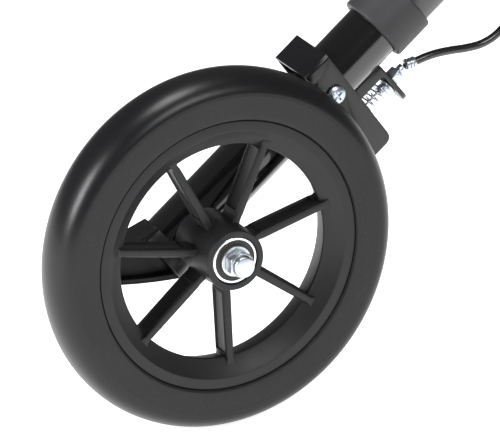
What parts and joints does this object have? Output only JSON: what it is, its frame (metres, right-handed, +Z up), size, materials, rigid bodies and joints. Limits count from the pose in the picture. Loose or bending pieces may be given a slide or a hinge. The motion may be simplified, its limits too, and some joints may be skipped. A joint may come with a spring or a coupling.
{
  "type": "scooter rear wheel and brake leg",
  "caption": "Spoked rear wheel on a bolted axle beside a slanting leg tube, with a foot tip pedal and a cable-pulled pivoting brake arm.",
  "frame": {"origin": "centre of the flat end face of the leg's upper tube, where it joins the scooter's frame", "axes": "+X forward, +Y inboard (from the wheel towards the scooter's middle) along the axle, +Z up; the leg slopes 39.5 degrees up towards +X"},
  "size_m": [0.3059, 0.0941, 0.2739],
  "materials": {
    "tyre": "satin moulded rubber, polished tread",
    "rim_plastic": "fine-grained moulded plastic",
    "black_paint": "gloss black powder coat",
    "satin_paint": "satin black powder coat",
    "grey_plastic": "satin moulded plastic",
    "grey_paint": "satin grey metallic paint",
    "zinc": "bright blue-white zinc plate",
    "bearing_steel": "ground bearing steel",
    "seal_rubber": "moulded seal rubber",
    "black_rubber": "matt rubber",
    "housing_plastic": "glossy extruded sleeve",
    "nylon": "natural nylon"
  },
  "bodies": {
    "leg": {"axle_cap_nut": "zinc", "axle_nut_washer": "zinc", "axle_sleeve": "zinc", "bearing_spacer": "zinc", "hub_spacer": "zinc", "axle_saddle_outboard": "satin_paint", "axle_saddle_inboard": "satin_paint", "axle_crush_sleeve": "zinc", "axle_bolt": "zinc", "lower_leg_tube": "black_paint", "leg_collar": "grey_plastic", "collar_grub_screw": "zinc", "upper_tube": "grey_paint", "leg_joint_sleeve": "grey_plastic", "frame_end_plug": "black_rubber", "tip_pedal": "grey_plastic", "pedal_screw": "zinc", "brake_pivot_screw": "zinc", "pivot_bush_outboard": "nylon", "pivot_bush_inboard": "nylon", "pivot_crush_sleeve": "zinc", "brake_pivot_nut": "zinc", "cable_bracket": "satin_paint", "bracket_rivet_1": "satin_paint", "bracket_rivet_2": "satin_paint", "spring_seat_washer": "zinc", "return_spring": "zinc", "cable_ferrule": "zinc", "cable_housing": "housing_plastic", "cable_grommet": "black_rubber", "outer_bearing_inner_race": "bearing_steel", "inner_bearing_inner_race": "bearing_steel"},
    "wheel": {"tyre": "tyre", "spoked_rim": "rim_plastic", "outer_bearing_outer_race": "bearing_steel", "outer_bearing_outboard_seal": "seal_rubber", "outer_bearing_inboard_seal": "seal_rubber", "inner_bearing_outer_race": "bearing_steel", "inner_bearing_outboard_seal": "seal_rubber", "inner_bearing_inboard_seal": "seal_rubber"},
    "outer_cage": {"outer_bearing_cage": "bearing_steel"},
    "inner_cage": {"inner_bearing_cage": "bearing_steel"},
    "brake_arm": {"brake_arm": "satin_paint", "brake_shoe": "black_rubber", "shoe_rivet": "zinc"},
    "brake_wire": {"brake_wire": "zinc", "wire_anchor": "zinc"},
    "adjuster": {"cable_adjuster": "zinc"},
    "lock_nut": {"adjuster_lock_nut": "zinc"}
  },
  "joints": [
    {"name": "wheel_spin", "type": "hinge", "parent": "leg", "child": "wheel", "pos_m": [-0.19507, -0.0363, -0.1608], "axis": [0, 1, 0], "continuous": true},
    {"name": "outer_cage_spin", "type": "hinge", "parent": "leg", "child": "outer_cage", "pos_m": [-0.19507, -0.0363, -0.1608], "axis": [0, 1, 0], "continuous": true},
    {"name": "inner_cage_spin", "type": "hinge", "parent": "leg", "child": "inner_cage", "pos_m": [-0.19507, -0.0363, -0.1608], "axis": [0, 1, 0], "continuous": true},
    {"name": "brake_arm_pivot", "type": "hinge", "parent": "leg", "child": "brake_arm", "pos_m": [-0.11482, 0, -0.09465], "axis": [0, -1, 0], "range_deg": [0, 3.5], "stiffness_Nm_per_rad": 1, "springref_deg": -8.59, "deforming": ["return_spring"]},
    {"name": "wire_pull", "type": "slide", "parent": "leg", "child": "brake_wire", "axis": [0.7716, 0, 0.6361], "range_m": [0, 0.002]},
    {"name": "adjuster_turn", "type": "hinge", "parent": "leg", "child": "adjuster", "pos_m": [-0.06925, 0, -0.09648], "axis": [0.7716, 0, 0.6361], "range_deg": [-180, 180]},
    {"name": "lock_nut_turn", "type": "hinge", "parent": "leg", "child": "lock_nut", "pos_m": [-0.07079, 0, -0.09775], "axis": [0.7716, 0, 0.6361], "range_deg": [-180, 180]}
  ],
  "couplings": [
    {"joint": "outer_cage_spin", "follows": "wheel_spin", "ratio": 0.616},
    {"joint": "inner_cage_spin", "follows": "wheel_spin", "ratio": 0.616},
    {"joint": "wire_pull", "follows": "brake_arm_pivot", "m_per_rad": 0.0304}
  ]
}
